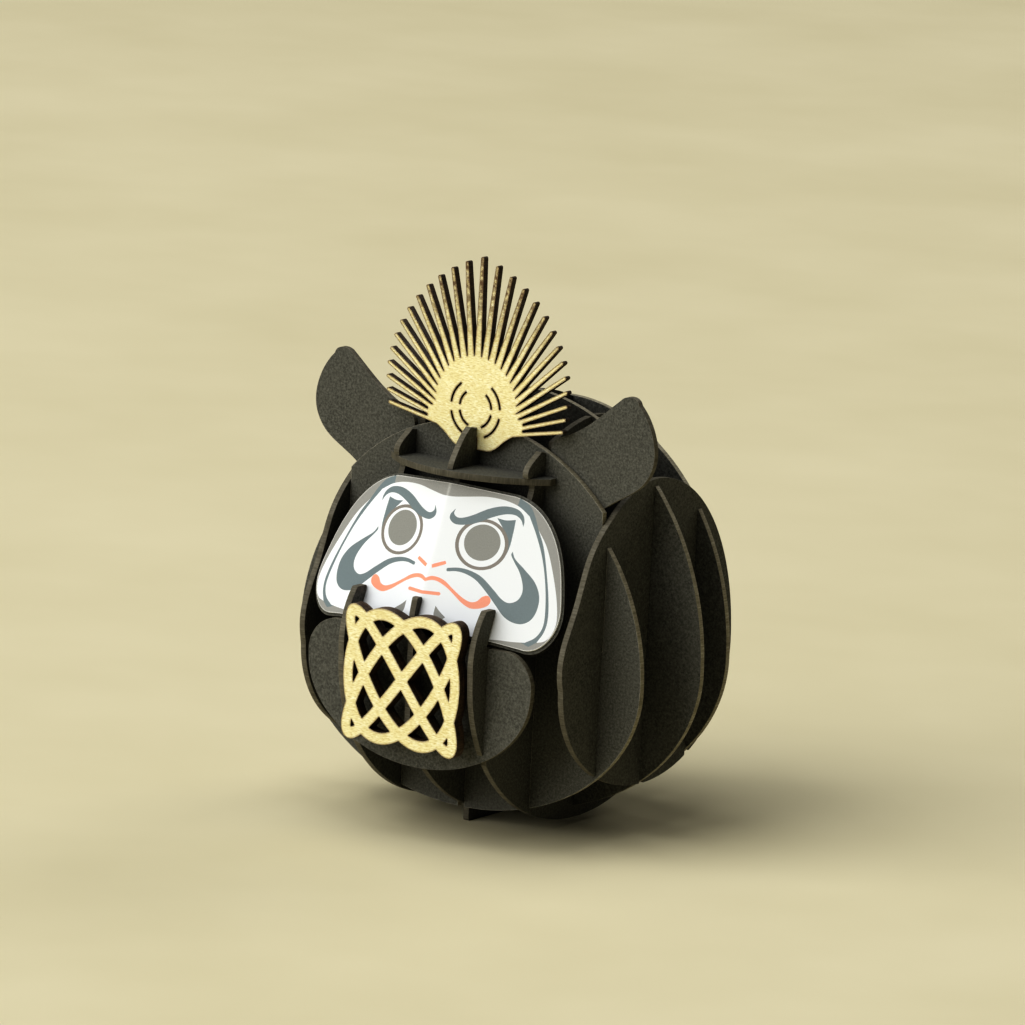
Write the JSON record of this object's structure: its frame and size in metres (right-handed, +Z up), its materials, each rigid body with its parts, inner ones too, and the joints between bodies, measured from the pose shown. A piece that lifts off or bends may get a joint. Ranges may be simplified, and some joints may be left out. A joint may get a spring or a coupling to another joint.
{
  "type": "daruma doll",
  "caption": "Small standing daruma doll of interlocking slotted card plates, with a folded printed face, visor, horns and a gold ray crest.",
  "frame": {"origin": "on the floor under the middle of the body, at the centre of the foot", "axes": "+Z up, the face looks along -Y, +X to the viewer's right when facing the doll"},
  "size_m": [0.0564, 0.0516, 0.0716],
  "materials": {
    "black_card": "matt black board with lighter cut edges",
    "gold_card": "satin gold-faced board with burnt brown cut edges",
    "brown_card": "dark brown board",
    "printed_paper": "white paper printed with a face"
  },
  "bodies": {
    "root": {"centre_rib": "black_card", "inner_rib_left": "black_card", "inner_rib_right": "black_card", "outer_rib_left": "black_card", "outer_rib_right": "black_card", "front_frame": "black_card", "middle_frame": "black_card", "rear_frame": "black_card", "back_plate": "black_card", "belly_plate": "black_card", "horn_plate": "black_card", "visor": "black_card", "crest": "gold_card", "face_card": "black_card", "face_print": "printed_paper", "emblem_backing": "brown_card", "emblem_gold": "gold_card"}
  },
  "joints": []
}
